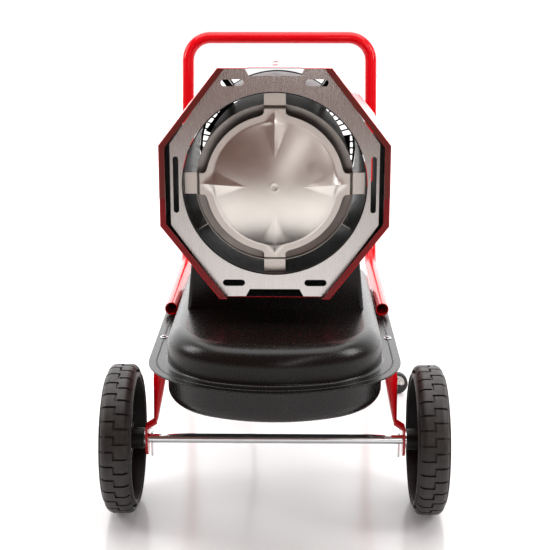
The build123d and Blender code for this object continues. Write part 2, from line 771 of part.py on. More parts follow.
def casing_half(upper, name):
    """One sheet half of the octagonal casing, its slanted and upright front edges turned in."""
    front = CASE_FRONT if upper else CASE_FRONT + LOWER_BACK
    cover = 2 * CASE_HALF_H
    middle = SEAM_Z + (cover / 2 if upper else -cover / 2 - CLEAR)
    slope = hypot(CASE_HALF_W - CASE_TOP_HALF, CASE_HALF_H - CASE_SIDE_HALF)
    lip_x = FRONT_LIP * slope / (CASE_HALF_H - CASE_SIDE_HALF)
    lip_y = FRONT_LIP * (slope - CASE_HALF_H + CASE_SIDE_HALF) / (CASE_HALF_W - CASE_TOP_HALF)
    with BuildPart() as half:
        with BuildSketch(upright(CASE_REAR)):
            casing_octagon()
            casing_octagon(SHEET, mode=Mode.SUBTRACT)
            with Locations((0, middle)):
                Rectangle(3 * CASE_HALF_W, cover, mode=Mode.INTERSECT)
        extrude(amount=CASE_REAR - front)
        with BuildSketch(upright(front + SHEET)):
            casing_octagon()
            octagon(
                CASE_HALF_W - FRONT_LIP,
                CASE_HALF_H,
                CASE_TOP_HALF - lip_x,
                CASE_SIDE_HALF - lip_y,
                mode=Mode.SUBTRACT,
            )
            with Locations((0, middle)):
                Rectangle(3 * CASE_HALF_W, cover, mode=Mode.INTERSECT)
        extrude(amount=SHEET)
        if upper:
            with BuildSketch(Plane.XY.offset(CASE_Z + CASE_HALF_H - 10)):
                with BuildLine():
                    edge = at(front)
                    Polyline(
                        (-NOTCH_W / 2, edge - 1),
                        (-NOTCH_W / 2, edge),
                        (-NOTCH_FLOOR / 2, edge + NOTCH_D),
                        (NOTCH_FLOOR / 2, edge + NOTCH_D),
                        (NOTCH_W / 2, edge),
                        (NOTCH_W / 2, edge - 1),
                        close=True,
                    )
                make_face()
                with Locations((0, at(-44)), (0, at(25))):
                    SlotOverall(50, 10, rotation=90)
            extrude(amount=20, mode=Mode.SUBTRACT)
        else:
            cut = PLATE_Y + 1 - front
            with Locations((0, at(front + cut / 2), CASE_Z - CASE_HALF_H)):
                Box(2 * (CASE_TOP_HALF - lip_x), cut, 4 * SHEET, mode=Mode.SUBTRACT)
    save(half.part, name)


casing_half(True, "casing_upper")
casing_half(False, "casing_lower")

PLATE_HALF_H = CASE_HALF_H - SHEET - CLEAR
SLOT_X = 77.0
SLOT_Z = 187.5
SIDE_SLOT_X = 183.0
with BuildPart() as front_plate:
    with BuildSketch(upright(PLATE_Y + PLATE_T)):
        octagon(PLATE_HALF_W, PLATE_HALF_H, PLATE_TOP_HALF, CASE_SIDE_HALF)
        for up in (-1, 1):
            with BuildLine():
                Polyline(
                    (-NOTCH_W / 2, up * (PLATE_HALF_H + 1)),
                    (-NOTCH_W / 2, up * PLATE_HALF_H),
                    (-NOTCH_FLOOR / 2, up * (PLATE_HALF_H - NOTCH_D)),
                    (NOTCH_FLOOR / 2, up * (PLATE_HALF_H - NOTCH_D)),
                    (NOTCH_W / 2, up * PLATE_HALF_H),
                    (NOTCH_W / 2, up * (PLATE_HALF_H + 1)),
                    close=True,
                )
            make_face(mode=Mode.SUBTRACT)
        Circle(HOLE_R, mode=Mode.SUBTRACT)
        with GridLocations(2 * SLOT_X, 2 * SLOT_Z, 2, 2):
            SlotOverall(42, 12.6, mode=Mode.SUBTRACT)
        with GridLocations(2 * SIDE_SLOT_X, 1, 2, 1):
            SlotOverall(106, 10.4, rotation=90, mode=Mode.SUBTRACT)
    extrude(amount=PLATE_T)
save(front_plate.part, "front_plate")

# --- burner ---------------------------------------------------------------------------------------
DUCT_T = 1.5
AXIS = Axis((0, at(0), CASE_Z), (0, -1, 0))


def section(turn=90.0):
    """A plane through the outlet's axis: x outwards from it, y towards the outlet."""
    angle = radians(turn)
    out = Vector(cos(angle), 0, sin(angle))
    return Plane(origin=(0, at(0), CASE_Z), x_dir=out, z_dir=out.cross(Vector(0, -1, 0)))


with BuildPart() as air_duct:
    with BuildSketch(upright(DUCT_REAR)):
        Circle(DUCT_R + DUCT_T)
        Circle(DUCT_R, mode=Mode.SUBTRACT)
    extrude(amount=DUCT_REAR - PLATE_Y)
save(air_duct.part, "air_duct")

STRUT_W = 12.0
STRUT_TURNS = (0, 54, 126, 180, 234, 306)  # degrees round the outlet
with BuildPart() as duct_struts:
    with BuildSketch(upright(DUCT_REAR)):
        for turn in STRUT_TURNS:
            with Locations(Location((0, 0), turn)):
                with Locations((200, 0)):
                    Rectangle(100, STRUT_W)
        casing_octagon(SHEET + CLEAR, mode=Mode.INTERSECT)
        Circle(DUCT_R + DUCT_T + CLEAR, mode=Mode.SUBTRACT)
    extrude(amount=20)
save(duct_struts.part, "duct_struts")

SKIN = 1.5
RECESS = 12.0  # the outlet ring, behind the chamber's edge
RING_R = CHAMBER_R - 36
RING_RISE = 6.0
CONE_R = 62.0
CONE_REAR = 205.0
with BuildPart() as combustion_chamber:
    with BuildSketch(section()):
        with BuildLine():
            Polyline(
                (CHAMBER_R - SKIN, -LIP_Y),
                (CHAMBER_R, -LIP_Y),
                (CHAMBER_R, -CHAMBER_REAR),
                (CONE_R, -CONE_REAR),
                (CONE_R - 30, -CONE_REAR),
                (CONE_R - 30, -CONE_REAR + 2),
                (CONE_R - 1, -CONE_REAR + 2),
                (CHAMBER_R - SKIN, -CHAMBER_REAR + 1),
                (CHAMBER_R - SKIN, -LIP_Y - RECESS - SKIN),
                (RING_R, -LIP_Y - RECESS - RING_RISE - SKIN),
                (RING_R, -LIP_Y - RECESS - RING_RISE),
                (CHAMBER_R - SKIN, -LIP_Y - RECESS),
                close=True,
            )
        make_face()
    revolve(axis=AXIS)
save(combustion_chamber.part, "combustion_chamber")

with BuildPart() as chamber_spacers:
    with BuildSketch(upright(CHAMBER_REAR - 10)):
        for turn in (-32, 212):
            with Locations(Location((0, 0), turn)):
                with Locations(((CHAMBER_R + DUCT_R) / 2, 0)):
                    Rectangle(DUCT_R - CHAMBER_R - 2 * CLEAR, 2)
    extrude(amount=CHAMBER_REAR - 10 - LIP_Y - 6)
save(chamber_spacers.part, "chamber_spacers")

with BuildPart() as burner_head:
    with BuildSketch(section()):
        with BuildLine():
            Polyline(
                (0, -CONE_REAR + 60),
                (14, -CONE_REAR + 60),
                (28, -CONE_REAR + 44),
                (31.9, -CONE_REAR + 4),
                (31.9, -CONE_REAR),
                (44, -CONE_REAR),
                (44, -CONE_REAR - 4),
                (18, -CONE_REAR - 4),
                (14, -CONE_REAR - 10),
                (0, -CONE_REAR - 10),
                close=True,
            )
        make_face()
    revolve(axis=AXIS)
save(burner_head.part, "burner_head")

DISC_T = 2.0
ARM_R = CHAMBER_R - 9.5
ARM_FLARE = 6.0
LOBE_LEAN = 11.3  # degrees from a lobe's middle to where it leaves the round
DOME_DRAWN_R = 116.0  # radius of the dome that the shape below was drawn for
DOME_SHAPE = (  # radius, lobe tip, height
    (114.0, 131.0, 1.0),
    (96.0, 107.0, 12.5),
    (66.0, 69.0, 24.0),
    (28.0, 28.4, 32.5),
    (6.0, 6.0, 35.0),
)


def lobed(radius, tip):
    """Draws a circle with four pointed lobes."""
    with BuildSketch(mode=Mode.PRIVATE) as outline:
        with BuildLine():
            for turn in range(0, 360, 90):
                spots = ((tip, 0), (radius, LOBE_LEAN), (radius, 45), (radius, 90 - LOBE_LEAN), (tip, 90))
                points = [(r * cos(radians(turn + a)), r * sin(radians(turn + a))) for r, a in spots]
                Line(points[0], points[1])
                ThreePointArc(*points[1:4])
                Line(points[3], points[4])
        make_face()
    add(outline.sketch)


with BuildPart() as diffuser_disc:
    grown = DOME_R / DOME_DRAWN_R
    raised = DOME_RISE / DOME_SHAPE[-1][2]
    for dome_radius, dome_tip, dome_height in DOME_SHAPE:
        with BuildSketch(upright(DISC_Y - dome_height * raised)):
            lobed(dome_radius * grown, dome_tip * grown)
    loft()
    with BuildSketch(upright(DISC_Y)):
        Circle(DISC_R)
        for turn in range(4):
            with Locations(Location((0, 0), turn * 90)):
                with Locations((ARM_R / 2, 0)):
                    Rectangle(ARM_R, ARM_W)
        fillet(vertices().filter_by(lambda v: hypot(v.X, v.Y) < DISC_R + 2), ARM_FLARE)
    extrude(amount=DISC_T)
    dome_sphere = (DOME_R**2 + DOME_RISE**2) / (2 * DOME_RISE)
    with BuildSketch(section()):
        with BuildLine():
            Line((0, -DISC_Y), (0, -DISC_Y + DOME_RISE - DISC_T))
            RadiusArc((0, -DISC_Y + DOME_RISE - DISC_T), (DOME_R - 8, -DISC_Y), dome_sphere - DISC_T)
            Line((DOME_R - 8, -DISC_Y), (0, -DISC_Y))
        make_face()
    revolve(axis=AXIS, mode=Mode.SUBTRACT)
save(diffuser_disc.part, "diffuser_disc")

CLIP_T = 1.5
CLIP_FOOT = sqrt(DUCT_R**2 - (ARM_W / 2) ** 2) - CLEAR
with BuildPart() as diffuser_clips:
    pad = -LIP_Y + CLEAR + CLIP_T / 2
    under = -DISC_Y - CLIP_T / 2
    clip_route = [
        (DISC_R, under),
        (ARM_R + 1, under),
        (ARM_R + 6.5, pad),
        (CLIP_FOOT - CLIP_T / 2, pad),
        (CLIP_FOOT - CLIP_T / 2, pad - 20),
    ]
    for turn in range(4):
        with BuildSketch(section(turn * 90)):
            with BuildLine():
                Polyline(*strip(clip_route, CLIP_T), close=True)
            make_face()
        extrude(amount=ARM_W / 2, both=True)
save(diffuser_clips.part, "diffuser_clips")

# --- fan, motor and guard ---------------------------------------------------------------------------
HUB = 34.0


def blade_section(radius, lean, chord, angle):
    """A blade's cross-section at a radius: a thin plate leaning out of the fan's plane."""
    out = Vector(cos(angle), 0, sin(angle))
    along = out.cross(Vector(0, -1, 0))
    middle = Vector(0, at(FAN_Y + FAN_W / 2), CASE_Z) + out * radius
    tilt = along * cos(radians(lean)) + Vector(0, -1, 0) * sin(radians(lean))
    with BuildSketch(Plane(origin=middle, x_dir=tilt, z_dir=out), mode=Mode.PRIVATE) as cut:
        Rectangle(chord, 2)
    return cut.sketch


with BuildPart() as fan:
    with BuildSketch(upright(FAN_Y + FAN_W)):
        Circle(HUB)
    extrude(amount=FAN_W)
    fillet(fan.edges().group_by(Axis.Y)[0], 8)
    for blade in range(BLADES):
        turn = radians(blade * 360 / BLADES)
        root = blade_section(HUB - 6, 38, 42, turn)
        tip = blade_section(FAN_R - 8, 22, 96, turn)
        loft(sections=[root, tip], ruled=True)
    with BuildSketch(upright(FAN_Y + FAN_W)):
        Circle(SHAFT_R)
    extrude(amount=FAN_W - 6, mode=Mode.SUBTRACT)
save(fan.part, "fan")

with BuildPart() as motor_shaft:
    with BuildSketch(upright(MOTOR_FRONT + 40)):
        Circle(SHAFT_R)
    extrude(amount=MOTOR_FRONT + 40 - FAN_Y - 6)
save(motor_shaft.part, "motor_shaft")

with BuildPart() as motor:
    with BuildSketch(section()):
        with BuildLine():
            Polyline(
                (SHAFT_R + RUN, -MOTOR_FRONT),
                (16, -MOTOR_FRONT),
                (18, -MOTOR_FRONT - 6),
                (MOTOR_R - 8, -MOTOR_FRONT - 8),
                (MOTOR_R, -MOTOR_FRONT - 14),
                (MOTOR_R, -MOTOR_REAR + 8),
                (MOTOR_R - 8, -MOTOR_REAR),
                (0, -MOTOR_REAR),
                (0, -MOTOR_FRONT - 40 - 1),
                (SHAFT_R + RUN, -MOTOR_FRONT - 40 - 1),
                close=True,
            )
        make_face()
    revolve(axis=AXIS)
save(motor.part, "motor")

BRACKET_Y = 300.0
with BuildPart() as motor_bracket:
    with BuildSketch(upright(BRACKET_Y + 16)):
        Circle(MOTOR_R + 4)
        for turn in range(4):
            with Locations(Location((0, 0), turn * 90 + 45)):
                with Locations((DUCT_R / 2, 0)):
                    Rectangle(DUCT_R - 2 * CLEAR, 16)
        Circle(MOTOR_R + 0.1, mode=Mode.SUBTRACT)
    extrude(amount=3)
    with BuildSketch(upright(BRACKET_Y + 13)):
        Circle(MOTOR_R + 4)
        Circle(MOTOR_R + 0.1, mode=Mode.SUBTRACT)
    extrude(amount=16)
save(motor_bracket.part, "motor_bracket")

with BuildPart() as fuel_pump:
    with BuildSketch(upright(MOTOR_REAR + 34)):
        with Locations((0, 4)):
            RectangleRounded(52, 46, 6)
    extrude(amount=28)
    with BuildSketch(upright(MOTOR_REAR + 6)):
        Circle(20)
    extrude(amount=6)
    with BuildSketch(Plane(origin=(26, at(MOTOR_REAR + 20), CASE_Z + 8), z_dir=(1, 0, 0))):
        RegularPolygon(7, 6)
    extrude(amount=9)
    with BuildSketch(Plane(origin=(0, at(MOTOR_REAR + 20), CASE_Z + 27), z_dir=(0, 0, 1))):
        RegularPolygon(7, 6)
    extrude(amount=9)
save(fuel_pump.part, "fuel_pump")

GUARD_WIRE = 3.2
GUARD_RINGS = (60.0, 118.0, 166.0)
GUARD_RIM = 5.0
with BuildPart() as rear_guard:
    with BuildSketch(upright(GUARD_Y + GUARD_WIRE)):
        with PolarLocations((GUARD_RINGS[0] + GUARD_RINGS[-1]) / 2 + 1, GUARD_WIRES):
            Rectangle(GUARD_RINGS[-1] - GUARD_RINGS[0], GUARD_WIRE)
    extrude(amount=GUARD_WIRE)
    with BuildSketch(upright(GUARD_Y)):
        for ring in GUARD_RINGS:
            Circle(ring + (GUARD_RIM if ring == GUARD_RINGS[-1] else GUARD_WIRE))
            Circle(ring, mode=Mode.SUBTRACT)
    extrude(amount=GUARD_WIRE)
    with BuildSketch(upright(GUARD_Y)):
        for turn in STRUT_TURNS:
            with Locations(Location((0, 0), turn)):
                with Locations((GUARD_RINGS[-1] + 52, 0)):
                    Rectangle(100, STRUT_W)
        casing_octagon(SHEET + CLEAR, mode=Mode.INTERSECT)
    extrude(amount=GUARD_WIRE)
save(rear_guard.part, "rear_guard")

# --- mains lead -----------------------------------------------------------------------------------
PLUG_X = 305.0
PLUG_FACE = 673.0
PLUG_R = 28.0
PLUG_LENGTH = 70.0
CORD_EXIT = PED_REAR + PANEL_T + GLAND_L
CORD_ROUTE = [
    (GLAND_X, CORD_EXIT, PANEL_Z),
    (-88, 388, 443),
    (-87, 434, 426),
    (-84, 470, 387),
    (-79, 488, 330),
    (-72, 495, 268),
    (-62, 500, 206),
    (-56, 506, 145),
    (-60, 518, 88),
    (-76, 538, 40),
    (-106, 560, 12),
    (-150, 583, 4.2),
    (-178, 622, 4.2),
    (-176, 672, 4.2),
    (-136, 702, 4.2),
    (-80, 700, 4.2),
    (-22, 676, 4.2),
    (34, 648, 4.2),
    (92, 630, 4.2),
    (150, 638, 4.2),
    (190, 676, 4.2),
    (207, 729, 4.2),
    (208, 812, 4.6),
    (256, 841, 15),
    (PLUG_X, 814, PLUG_R),
    (PLUG_X, PLUG_FACE + PLUG_LENGTH, PLUG_R),
]


def cord_arcs(route):
    """The radius of the arc at each inner point: as large as its two runs allow."""
    arcs = []
    for before, here, after in zip(route, route[1:], route[2:]):
        arriving = Vector(*here) - Vector(*before)
        leaving = Vector(*after) - Vector(*here)
        turn = radians(arriving.get_angle(leaving))
        arcs.append(0.45 * min(arriving.length, leaving.length) / tan(turn / 2))
    return arcs


with BuildPart() as mains_cord:
    points = [(x, at(y), z) for x, y, z in CORD_ROUTE]
    arc_radii = cord_arcs(points)
    print("cord arcs", [round(radius) for radius in arc_radii])
    with BuildLine() as cord_line:
        FilletPolyline(*points, radius=arc_radii)
    print("cord length", round(sum(edge.length for edge in cord_line.edges())))
    with BuildSketch(Plane(origin=cord_line.line @ 0, z_dir=cord_line.line % 0)):
        Circle(CORD_R)
    sweep()
save(mains_cord.part, "mains_cord")

INSERT_R = 19.0
INSERT_UP = 3.0
INSERT_FLAT = -5.0


def plug_plane(y):
    """A plane across the plug, facing the outlet's side: x to the right, y up."""
    return Plane(origin=(PLUG_X, at(y), PLUG_R), x_dir=(1, 0, 0), z_dir=(0, -1, 0))


with BuildPart() as mains_plug:
    with BuildSketch(Plane(origin=(PLUG_X, at(0), PLUG_R), x_dir=(0, 0, 1), z_dir=(-1, 0, 0))):
        with BuildLine():
            Polyline(
                (0, PLUG_FACE),
                (PLUG_R - 2, PLUG_FACE),
                (PLUG_R, PLUG_FACE + 2),
                (PLUG_R, PLUG_FACE + 16),
                (PLUG_R - 7, PLUG_FACE + 24),
                (PLUG_R - 9, PLUG_FACE + 42),
                (PLUG_R - 17, PLUG_FACE + 50),
                (CORD_R + 1.5, PLUG_FACE + PLUG_LENGTH),
                (0, PLUG_FACE + PLUG_LENGTH),
                close=True,
            )
        make_face()
    revolve(axis=Axis((PLUG_X, at(0), PLUG_R), (0, 1, 0)))
    with BuildSketch(plug_plane(PLUG_FACE + 3)):
        with Locations((0, INSERT_UP)):
            Circle(INSERT_R)
            with Locations((0, INSERT_FLAT)):
                Rectangle(3 * INSERT_R, 2 * INSERT_R, align=(Align.CENTER, Align.MAX), mode=Mode.SUBTRACT)
    extrude(amount=4, mode=Mode.SUBTRACT)
save(mains_plug.part, "mains_plug")

with BuildPart() as plug_insert:
    with BuildSketch(plug_plane(PLUG_FACE + 3)):
        with Locations((0, INSERT_UP)):
            Circle(INSERT_R - 0.1)
            with Locations((0, INSERT_FLAT + 0.1)):
                Rectangle(3 * INSERT_R, 2 * INSERT_R, align=(Align.CENTER, Align.MAX), mode=Mode.SUBTRACT)
            with Locations((0, 11)):
                Circle(2.6, mode=Mode.SUBTRACT)
    extrude(amount=3.5)
    with BuildSketch(plug_plane(PLUG_FACE - 0.5)):
        with Locations((-9.5, INSERT_UP + 2), (9.5, INSERT_UP + 2)):
            Circle(2.4)
    extrude(amount=19)
    chamfer(plug_insert.edges().group_by(Axis.Y)[0], 0.8)
save(plug_insert.part, "plug_insert")
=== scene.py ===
"""Looks of a forced air heater on its trolley: finishes, mains cord, pressed tank and diffuser, fasteners,
panel marks, studio and camera."""
from math import atan2, cos, degrees, exp, hypot, pi, radians, sin

import bpy
from mathutils import Matrix, Vector


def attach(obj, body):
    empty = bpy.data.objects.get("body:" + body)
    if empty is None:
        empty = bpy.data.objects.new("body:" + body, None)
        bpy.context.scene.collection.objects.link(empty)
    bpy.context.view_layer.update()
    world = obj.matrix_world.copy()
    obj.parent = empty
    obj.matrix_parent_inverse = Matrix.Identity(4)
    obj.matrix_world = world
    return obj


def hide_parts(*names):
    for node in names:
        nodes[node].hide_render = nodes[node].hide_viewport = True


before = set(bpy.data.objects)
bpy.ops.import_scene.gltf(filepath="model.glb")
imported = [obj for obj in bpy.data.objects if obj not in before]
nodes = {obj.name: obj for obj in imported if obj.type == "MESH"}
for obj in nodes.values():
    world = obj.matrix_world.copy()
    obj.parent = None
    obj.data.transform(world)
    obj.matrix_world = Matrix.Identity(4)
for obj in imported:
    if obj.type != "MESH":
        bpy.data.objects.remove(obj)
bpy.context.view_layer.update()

MM = 0.001
CREASE = 32  # degrees between faces from which an edge is drawn sharp
AXLE_Y = -0.229  # the part's lengthwise places are given behind the axle
CASE_Z = 0.686  # the outlet's axis
CASE_HALF_W = 0.2125
CASE_HALF_H = 0.2154
SLANT = (0.7889, 0.6146, 0.21405)  # the slanted sides' normal and their distance from the axis
UPPER_FRONT = -0.3275  # just behind these the upper and the lower shell get painted shade inside, near black
LOWER_FRONT = -0.3245

RED_PAINT = (0.74, 0.002, 0.008)
# painted shade: the casing's red inside, which lies in shade, is coloured near black
INNER_SHADE_BLACK = (0.004, 0.0037, 0.0035)


# --- node helpers ---------------------------------------------------------------------------------
def set_colours(mix, first, second):
    """Sets a colour mix node's two colours and returns the socket of the first."""
    sockets = [socket for socket in mix.inputs if socket.type == "RGBA"]
    sockets[0].default_value = (*first, 1)
    sockets[1].default_value = (*second, 1)
    return sockets[0]


def colour_out(mix):
    """A colour mix node's result."""
    return [socket for socket in mix.outputs if socket.type == "RGBA"][0]


class Finish:
    """A material under construction: one Principled shader and what feeds it."""

    def __init__(self, name, colour, roughness, metallic=0.0, **sockets):
        self.material = bpy.data.materials.new(name)
        self.material.use_nodes = True
        self.tree = self.material.node_tree
        self.shader = self.tree.nodes["Principled BSDF"]
        self.shader.inputs["Base Color"].default_value = (*colour, 1)
        self.shader.inputs["Roughness"].default_value = roughness
        self.shader.inputs["Metallic"].default_value = metallic
        for socket, value in sockets.items():
            self.shader.inputs[socket.replace("_", " ")].default_value = value
        self.place = self.node("ShaderNodeTexCoord").outputs["Object"]
        self.normal = None

    def node(self, kind, **inputs):
        """A node of that kind, with the named inputs linked or set."""
        made = self.tree.nodes.new(kind)
        for name, value in inputs.items():
            self.feed(made.inputs[name.replace("_", " ")], value)
        return made

    def feed(self, socket, value):
        """Links an output to an input socket, or sets it to a constant."""
        if isinstance(value, bpy.types.NodeSocket):
            self.tree.links.new(value, socket)
        else:
            socket.default_value = value

    def stretched(self, x, y, z):
        """Coordinates multiplied along each axis, so that a texture is drawn out along the small ones."""
        return self.node("ShaderNodeMapping", Vector=self.place, Scale=(x, y, z)).outputs["Vector"]

    def noise(self, scale, detail=3.0, roughness=0.5, place=None):
        """Soft noise between 0 and 1."""
        made = self.node(
            "ShaderNodeTexNoise",
            Vector=place or self.place,
            Scale=scale,
            Detail=detail,
            Roughness=roughness,
        )
        return made.outputs["Fac"]

    def cells(self, scale):
        """Distance to the nearest of many scattered points."""
        made = self.node("ShaderNodeTexVoronoi", Vector=self.place, Scale=scale)
        return made.outputs["Distance"]

    def spread(self, factor, low, high, to_low=0.0, to_high=1.0):
        """Stretches a factor's middle part out to a new range."""
        made = self.node(
            "ShaderNodeMapRange",
            Value=factor,
            From_Min=low,
            From_Max=high,
            To_Min=to_low,
            To_Max=to_high,
        )
        return made.outputs["Result"]

    def maths(self, kind, first, second):
        """One sum on two factors."""
        made = self.node("ShaderNodeMath")
        made.operation = kind
        self.feed(made.inputs[0], first)
        self.feed(made.inputs[1], second)
        return made.outputs[0]

    def mixed(self, factor, first, second):
        """A mix of two colours, either of which may be another mix."""
        made = self.node("ShaderNodeMix")
        made.data_type = "RGBA"
        self.tree.links.new(factor, made.inputs["Factor"])
        sockets = [socket for socket in made.inputs if socket.type == "RGBA"]
        for socket, value in zip(sockets, (first, second)):
            self.feed(socket, value if isinstance(value, bpy.types.NodeSocket) else (*value, 1))
        return colour_out(made)

    def colour(self, factor, first, second):
        """Paints the surface between two colours."""
        self.feed(self.shader.inputs["Base Color"], self.mixed(factor, first, second))

    def rough(self, factor, low, high):
        """Varies the roughness between two values."""
        self.feed(self.shader.inputs["Roughness"], self.spread(factor, 0.25, 0.75, low, high))

    def bump(self, height, strength, depth):
        """Adds relief of that depth in metres, on top of what is there."""
        made = self.node("ShaderNodeBump", Height=height, Strength=strength, Distance=depth)
        if self.normal is not None:
            self.feed(made.inputs["Normal"], self.normal)
        self.normal = made.outputs["Normal"]
        self.feed(self.shader.inputs["Normal"], self.normal)


# --- finishes -------------------------------------------------------------------------------------
def red_powder_coat():
    """Gloss red powder coat with its slight orange peel."""
    gloss = {"Coat_Weight": 0.25, "Coat_Roughness": 0.04, "Specular_IOR_Level": 0.2}
    look = Finish("red_powder_coat", RED_PAINT, 0.2, **gloss)
    look.colour(look.noise(9, 4), (0.68, 0.0015, 0.006), (0.80, 0.003, 0.010))
    look.bump(look.noise(420, 2), 0.08, 0.0004)
    look.rough(look.noise(60, 5), 0.15, 0.25)
    return look.material


def casing_coat(name, front, lip_shade_colour):
    """The red coat, with painted shade: near black and matt inside the shell behind y = front, a darker red
    on the front lip.
    """
    look = Finish(name, RED_PAINT, 0.2, Coat_Weight=0.2, Coat_Roughness=0.04, Specular_IOR_Level=0.2)
    axes = look.node("ShaderNodeSeparateXYZ", Vector=look.place).outputs
    across = look.maths("ABSOLUTE", axes["X"], 0.0)
    up = look.maths("ABSOLUTE", look.maths("SUBTRACT", axes["Z"], CASE_Z), 0.0)
    slant = look.maths("ADD", look.maths("MULTIPLY", across, SLANT[0]), look.maths("MULTIPLY", up, SLANT[1]))
    side = look.maths("SUBTRACT", across, CASE_HALF_W)
    top = look.maths("SUBTRACT", up, CASE_HALF_H)
    out = look.maths("MAXIMUM", look.maths("MAXIMUM", side, top), look.maths("SUBTRACT", slant, SLANT[2]))
    inside = look.spread(out, -0.9 * MM, -0.6 * MM, 1.0, 0.0)
    behind = look.spread(axes["Y"], front + 0.2 * MM, front + 0.5 * MM)
    # painted shade: the shell's inside is coloured near black and the front lip a darker red
    dark = look.maths("MULTIPLY", inside, behind)
    lip = look.maths("MULTIPLY", inside, look.maths("SUBTRACT", 1.0, behind))
    look.colour(dark, look.mixed(lip, RED_PAINT, lip_shade_colour), INNER_SHADE_BLACK)
    look.feed(look.shader.inputs["Roughness"], look.spread(dark, 0.0, 1.0, 0.2, 0.95))
    look.feed(look.shader.inputs["Coat Weight"], look.spread(dark, 0.0, 1.0, 0.2, 0.0))
    look.bump(look.noise(420, 2), 0.08, 0.0004)
    return look.material


def black_texture_coat():
    """Satin black powder coat with a fine leather-like grain."""
    look = Finish("black_texture_coat", (0.005, 0.0046, 0.0043), 0.27, Specular_IOR_Level=0.36)
    look.colour(look.noise(14, 5), (0.004, 0.0036, 0.0033), (0.007, 0.0063, 0.0058))
    look.rough(look.noise(300, 3), 0.22, 0.33)
    look.bump(look.cells(620), 0.045, 0.0005)
    look.bump(look.noise(900, 3), 0.04, 0.0003)
    return look.material


def black_satin():
    """Plain satin black paint for wires, struts and the duct."""
    look = Finish("black_satin", (0.012, 0.012, 0.012), 0.34, Specular_IOR_Level=0.22)
    look.colour(look.noise(25, 5), (0.009, 0.009, 0.009), (0.020, 0.019, 0.018))
    look.rough(look.noise(80, 4), 0.28, 0.42)
    look.bump(look.noise(500, 2), 0.1, 0.0003)
    return look.material


def brushed_plate():
    """Stainless sheet brushed upright."""
    look = Finish("brushed_plate", (0.74, 0.73, 0.71), 0.27, 1.0, Anisotropic=0.75)
    lines = look.noise(1.0, 6, 0.6, look.stretched(2600, 2600, 26))
    wide = look.noise(1.0, 3, 0.5, look.stretched(300, 300, 6))
    look.colour(look.maths("MULTIPLY", lines, wide), (0.70, 0.69, 0.67), (0.86, 0.85, 0.83))
    look.rough(lines, 0.22, 0.30)
    look.bump(lines, 0.07, 0.0002)
    return look.material


def spun_steel():
    """Pressed stainless with a satin, slightly mottled surface."""
    look = Finish("spun_steel", (0.74, 0.71, 0.66), 0.22, 1.0)
    look.colour(look.noise(18, 4, 0.5), (0.70, 0.67, 0.62), (0.80, 0.77, 0.72))
    look.rough(look.noise(60, 3, 0.5), 0.34, 0.40)
    look.bump(look.noise(45, 2, 0.5), 0.02, 0.0002)
    return look.material


def heat_steel():
    """Stainless darkened a little by heat and handling."""
    look = Finish("heat_steel", (0.34, 0.32, 0.30), 0.34, 1.0)
    look.colour(look.noise(22, 6, 0.6), (0.26, 0.245, 0.225), (0.42, 0.40, 0.375))
    look.rough(look.noise(140, 5), 0.28, 0.42)
    look.bump(look.noise(500, 4), 0.10, 0.0003)
    return look.material


def bright_zinc():
    """Bright zinc plate, drawn along the bar."""
    look = Finish("bright_zinc", (0.72, 0.75, 0.77), 0.13, 1.0)
    drawn = look.noise(1.0, 4, 0.6, look.stretched(14, 900, 900))
    look.colour(look.noise(45, 5), (0.64, 0.67, 0.69), (0.84, 0.86, 0.88))
    look.rough(drawn, 0.08, 0.18)
    look.bump(drawn, 0.04, 0.0002)
    return look.material


def tyre_rubber():
    """Moulded tyre rubber, dusty in random patches."""
    look = Finish("tyre_rubber", (0.02, 0.0175, 0.0155), 0.5)
    dust = look.spread(look.noise(55, 7, 0.65), 0.5, 0.78)
    look.colour(dust, (0.018, 0.0155, 0.014), (0.045, 0.040, 0.036))
    look.rough(look.noise(160, 4), 0.4, 0.6)
    look.bump(look.noise(340, 5, 0.6), 0.25, 0.0005)
    return look.material


def moulded_plastic(name, colour, roughness=0.45):
    """Moulded plastic with a fine spark-eroded grain."""
    look = Finish(name, colour, roughness, Specular_IOR_Level=0.3)
    shade = [c * 1.35 + 0.002 for c in colour]
    look.colour(look.noise(70, 5), colour, shade)
    look.rough(look.noise(240, 3), roughness - 0.07, roughness + 0.07)
    look.bump(look.noise(1300, 2), 0.18, 0.0002)
    return look.material


def matt_rubber():
    """Cord sheath and feet."""
    look = Finish("matt_rubber", (0.016, 0.016, 0.016), 0.55)
    look.colour(look.noise(90, 5), (0.012, 0.012, 0.012), (0.026, 0.026, 0.025))
    look.rough(look.noise(200, 3), 0.48, 0.64)
    look.bump(look.noise(800, 3), 0.2, 0.0002)
    return look.material


def lens():
    """Amber lamp lens."""
    look = Finish("lens", (0.75, 0.22, 0.02), 0.12, Coat_Weight=0.6)
    look.colour(look.noise(200, 2), (0.66, 0.17, 0.015), (0.82, 0.27, 0.03))
    look.bump(look.cells(900), 0.2, 0.0002)
    return look.material


def cast_alloy():
    """Cast alloy, lightly grained."""
    look = Finish("cast_alloy", (0.45, 0.45, 0.45), 0.45, 1.0)
    look.colour(look.noise(60, 6), (0.36, 0.36, 0.36), (0.52, 0.52, 0.51))
    look.rough(look.noise(220, 4), 0.38, 0.55)
    look.bump(look.noise(600, 5, 0.7), 0.3, 0.0004)
    return look.material


def copper_pipe():
    """Drawn copper pipe, dulled by air."""
    look = Finish("copper_pipe", (0.60, 0.27, 0.16), 0.3, 1.0)
    look.colour(look.noise(70, 6), (0.42, 0.19, 0.12), (0.68, 0.33, 0.21))
    look.rough(look.noise(150, 4), 0.22, 0.42)
    return look.material


